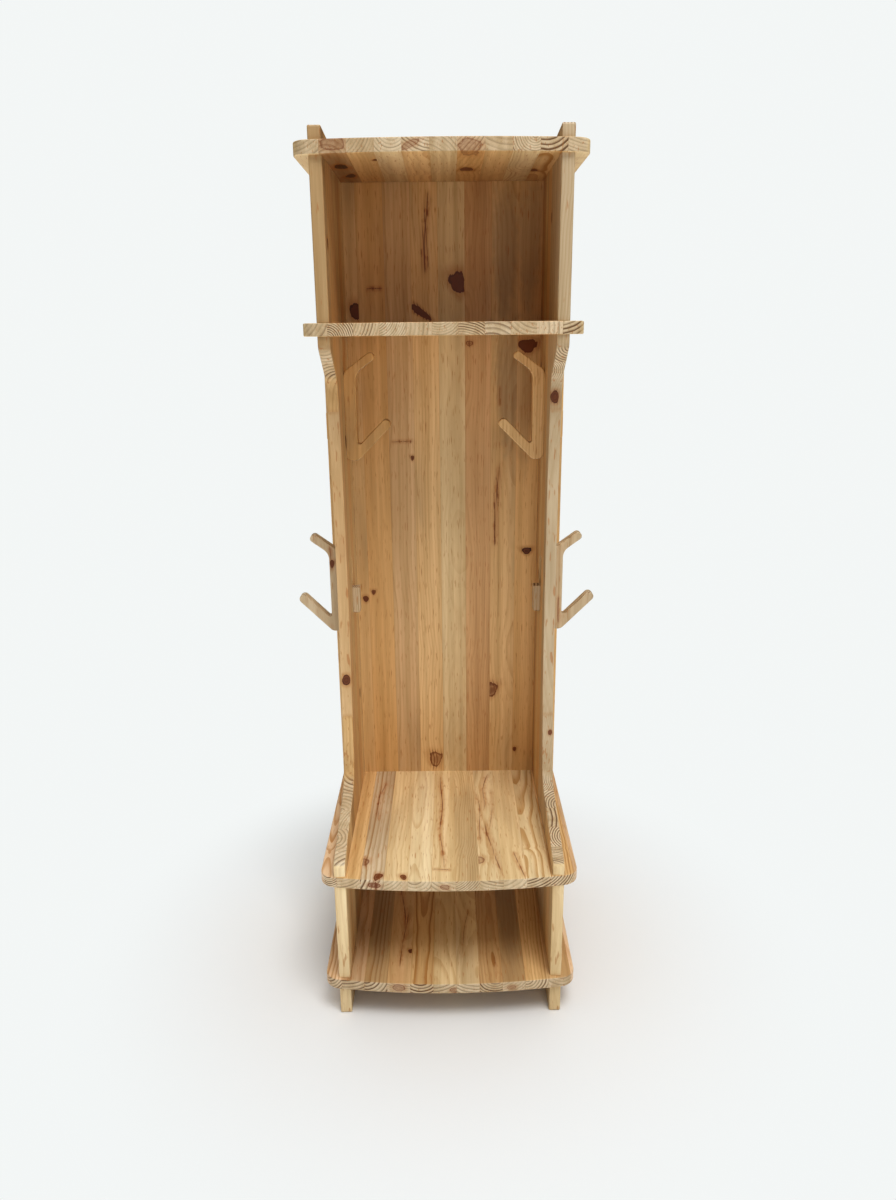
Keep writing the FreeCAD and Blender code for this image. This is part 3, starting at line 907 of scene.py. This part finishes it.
class WARDROBE_OT_hooks(bpy.types.Operator):
    """Four lift-off hook plates"""

    bl_idname = "wardrobe.hooks"
    bl_label = "Hooks"

    def execute(self, context):
        left_marks = [streak(-290, 1040, 8, 40), knot(-288, 1026, 6, 2.0, strength=0.9)]
        right_marks = [streak(288, 900, 8, 45)]
        hooks = (
            ("inner_hook_left", "hook_inner_left", hook_board(50.0, "amber", [])),
            ("inner_hook_right", "hook_inner_right", hook_board(53.0, "honey", [])),
            ("outer_hook_left", "hook_outer_left", hook_board(56.0, "grey", left_marks)),
            ("outer_hook_right", "hook_outer_right", hook_board(59.0, "grey", right_marks)),
        )
        for node_name, piece_name, board in hooks:
            eased_board(node_name, piece_name, board)
        return {"FINISHED"}


class WARDROBE_OT_stage(bpy.types.Operator):
    """Pale floor, soft light and a standing person's view"""

    bl_idname = "wardrobe.stage"
    bl_label = "Stage"

    def execute(self, context):
        make_floor()
        make_sky()
        make_lights()
        make_camera()
        context.scene.view_settings.view_transform = "Standard"
        context.scene.view_settings.look = "Medium High Contrast"
        context.scene.view_settings.exposure = EXPOSURE
        return {"FINISHED"}


# Floor, light and camera

# Floor, in metres from its middle, and its light: what the eye sees, and what it throws on the wardrobe
FLOOR_RADIUS = 9.0
FLOOR_SIDES = 128
FLOOR_ROUGHNESS = (0.6, 0.75)
FLOOR_GLOSS = 0.2
FADE = (0.4, 1.0)
FAR_TO_NEAR = (5.5, 3.0)
FAR_TO_NEAR_GLOW = (0.5, 1.4)
BRIGHT = 0.89
WHITE = (0.975, 1.0, 0.995, 1.0)
WARM = (1.0, 0.84, 0.66, 1.0)

# Sky, by the height of the direction from 0 at the horizon to 1 overhead
SKY_HEIGHTS = (0.35, 0.95)
SKY_LIGHT = (0.05, 1.15)
SKY_WHITE = (0.0, 0.6)

# Lights, in metres
SOFTBOX_PLACE = (1.2, -2.6, 6.6)
SOFTBOX_TARGET = (0.0, 0.0, 0.4)
SOFTBOX_WIDTH = 2.6
FILL_PLACE = (0.8, -4.4, 2.6)
FILL_TARGET = (0.0, 0.0, 1.1)
FILL_WIDTH = 2.2

# Camera
EXPOSURE = -0.2
EYE = Vector((0.0038, -2.0157, 1.5756))
LOOK_DOWN = math.radians(16.853)
HEAD_TILT = math.radians(-0.568)
LENS_MM = 26.19
SENSOR_MM = 36.0


def make_floor():
    """A wide round floor that fades into the bright surroundings."""
    mesh = bmesh.new()
    bmesh.ops.create_circle(mesh, cap_ends=True, segments=FLOOR_SIDES, radius=FLOOR_RADIUS)
    data = bpy.data.meshes.new("floor")
    mesh.to_mesh(data)
    mesh.free()
    material = bpy.data.materials.new("Pale floor")
    material.use_nodes = True
    n = Nodes(material.node_tree)
    shader = n.tree.nodes["Principled BSDF"]
    place = n.add("ShaderNodeTexCoord").outputs["Object"]
    away = n.add("ShaderNodeVectorMath", operation="LENGTH")
    n.feed(away.inputs[0], place)
    fade = n.ramp(away.outputs["Value"], *FADE)
    speckle = n.noise(place, detail=4.0)
    n.feed(shader.inputs["Base Color"], colour4(studio().floor_colour))
    n.feed(shader.inputs["Roughness"], n.span(speckle, *FLOOR_ROUGHNESS))
    n.feed(shader.inputs["Specular IOR Level"], FLOOR_GLOSS)
    seen = n.add("ShaderNodeLightPath").outputs["Is Camera Ray"]
    glow = n.add("ShaderNodeEmission")
    near = n.ramp(away.outputs["Value"], *FAR_TO_NEAR)
    n.feed(glow.inputs["Color"], n.mix(n.math("MAXIMUM", seen, near), WARM, WHITE))
    lit = n.span(near, *FAR_TO_NEAR_GLOW)
    n.feed(glow.inputs["Strength"], n.math("MULTIPLY_ADD", n.math("SUBTRACT", BRIGHT, lit), seen, lit))
    blend = n.add("ShaderNodeMixShader")
    n.feed(blend.inputs[0], fade)
    n.feed(blend.inputs[1], shader.outputs[0])
    n.feed(blend.inputs[2], glow.outputs[0])
    n.feed(n.tree.nodes["Material Output"].inputs["Surface"], blend.outputs[0])
    data.materials.append(material)
    floor = bpy.data.objects.new("floor", data)
    bpy.context.scene.collection.objects.link(floor)


def make_sky():
    """White surroundings for the eye, and soft light that comes mostly from above."""
    world = bpy.data.worlds.new("Studio")
    world.use_nodes = True
    bpy.context.scene.world = world
    n = Nodes(world.node_tree)
    height = n.split(n.add("ShaderNodeTexCoord").outputs["Generated"])[2]
    high = n.ramp(height, *SKY_HEIGHTS)
    soft = n.math("MULTIPLY", n.span(high, *SKY_LIGHT), studio().sky_strength)
    seen = n.add("ShaderNodeLightPath").outputs["Is Camera Ray"]
    strength = n.add("ShaderNodeMix", data_type="FLOAT")
    n.feed(strength.inputs[0], seen)
    n.feed(strength.inputs[2], soft)
    n.feed(strength.inputs[3], BRIGHT)
    sky = n.tree.nodes["Background"]
    whiteness = n.math("MAXIMUM", seen, n.ramp(height, *SKY_WHITE))
    n.feed(sky.inputs["Color"], n.mix(whiteness, WARM, WHITE))
    n.feed(sky.inputs["Strength"], strength.outputs[0])


def soft_light(name, place, target, width, power):
    """A square soft light that points at a target."""
    data = bpy.data.lights.new(name, "AREA")
    data.size = width
    data.energy = power
    light = bpy.data.objects.new(name, data)
    light.location = place
    light.rotation_euler = (Vector(target) - Vector(place)).to_track_quat("-Z", "Y").to_euler()
    bpy.context.scene.collection.objects.link(light)


def make_lights():
    soft_light("softbox", SOFTBOX_PLACE, SOFTBOX_TARGET, SOFTBOX_WIDTH, studio().softbox_power)
    soft_light("fill", FILL_PLACE, FILL_TARGET, FILL_WIDTH, studio().fill_power)


def make_camera():
    """A camera at a standing person's eye, looking slightly down."""
    ahead = Vector((0.0, math.cos(LOOK_DOWN), -math.sin(LOOK_DOWN)))
    level = ahead.cross(Vector((0.0, 0.0, 1.0))).normalized()
    upright = level.cross(ahead)
    right = level * math.cos(HEAD_TILT) + upright * math.sin(HEAD_TILT)
    up = right.cross(ahead)
    data = bpy.data.cameras.new("camera")
    data.sensor_fit = "AUTO"
    data.sensor_width = SENSOR_MM
    data.lens = LENS_MM
    camera = bpy.data.objects.new("camera", data)
    axes = Matrix((right, up, -ahead)).transposed()
    camera.matrix_world = Matrix.Translation(EYE) @ axes.to_4x4()
    bpy.context.scene.collection.objects.link(camera)
    bpy.context.scene.camera = camera


# Panel and registration

STEPS = (
    WARDROBE_OT_stage,
    WARDROBE_OT_side_panels,
    WARDROBE_OT_back_panel,
    WARDROBE_OT_shelves,
    WARDROBE_OT_bench,
    WARDROBE_OT_hooks,
)
GROUPS = {
    "wardrobe_sizes": WardrobeSizes,
    "wardrobe_colours": WardrobeColours,
    "wardrobe_studio": WardrobeStudio,
}


class VIEW3D_PT_wardrobe(bpy.types.Panel):
    """Lists the steps and settings of the wardrobe"""

    bl_idname = "VIEW3D_PT_wardrobe"
    bl_label = "Open frame wardrobe"
    bl_space_type = "VIEW_3D"
    bl_region_type = "UI"
    bl_category = "Wardrobe"

    def draw(self, context):
        for step in STEPS:
            self.layout.operator(step.bl_idname)
        for name, group in GROUPS.items():
            box = self.layout.box()
            for key in group.__annotations__:
                box.prop(getattr(context.scene, name), key)


CLASSES = (*GROUPS.values(), *STEPS, VIEW3D_PT_wardrobe)


def register():
    for each in CLASSES:
        bpy.utils.register_class(each)
    for name, group in GROUPS.items():
        setattr(bpy.types.Scene, name, PointerProperty(type=group))


def unregister():
    for name in GROUPS:
        delattr(bpy.types.Scene, name)
    for each in reversed(CLASSES):
        bpy.utils.unregister_class(each)


def main():
    register()
    bpy.ops.wardrobe.stage()
    bpy.ops.wardrobe.side_panels()
    bpy.ops.wardrobe.back_panel()
    bpy.ops.wardrobe.shelves()
    bpy.ops.wardrobe.bench()
    bpy.ops.wardrobe.hooks()


if __name__ == "__main__":
    main()
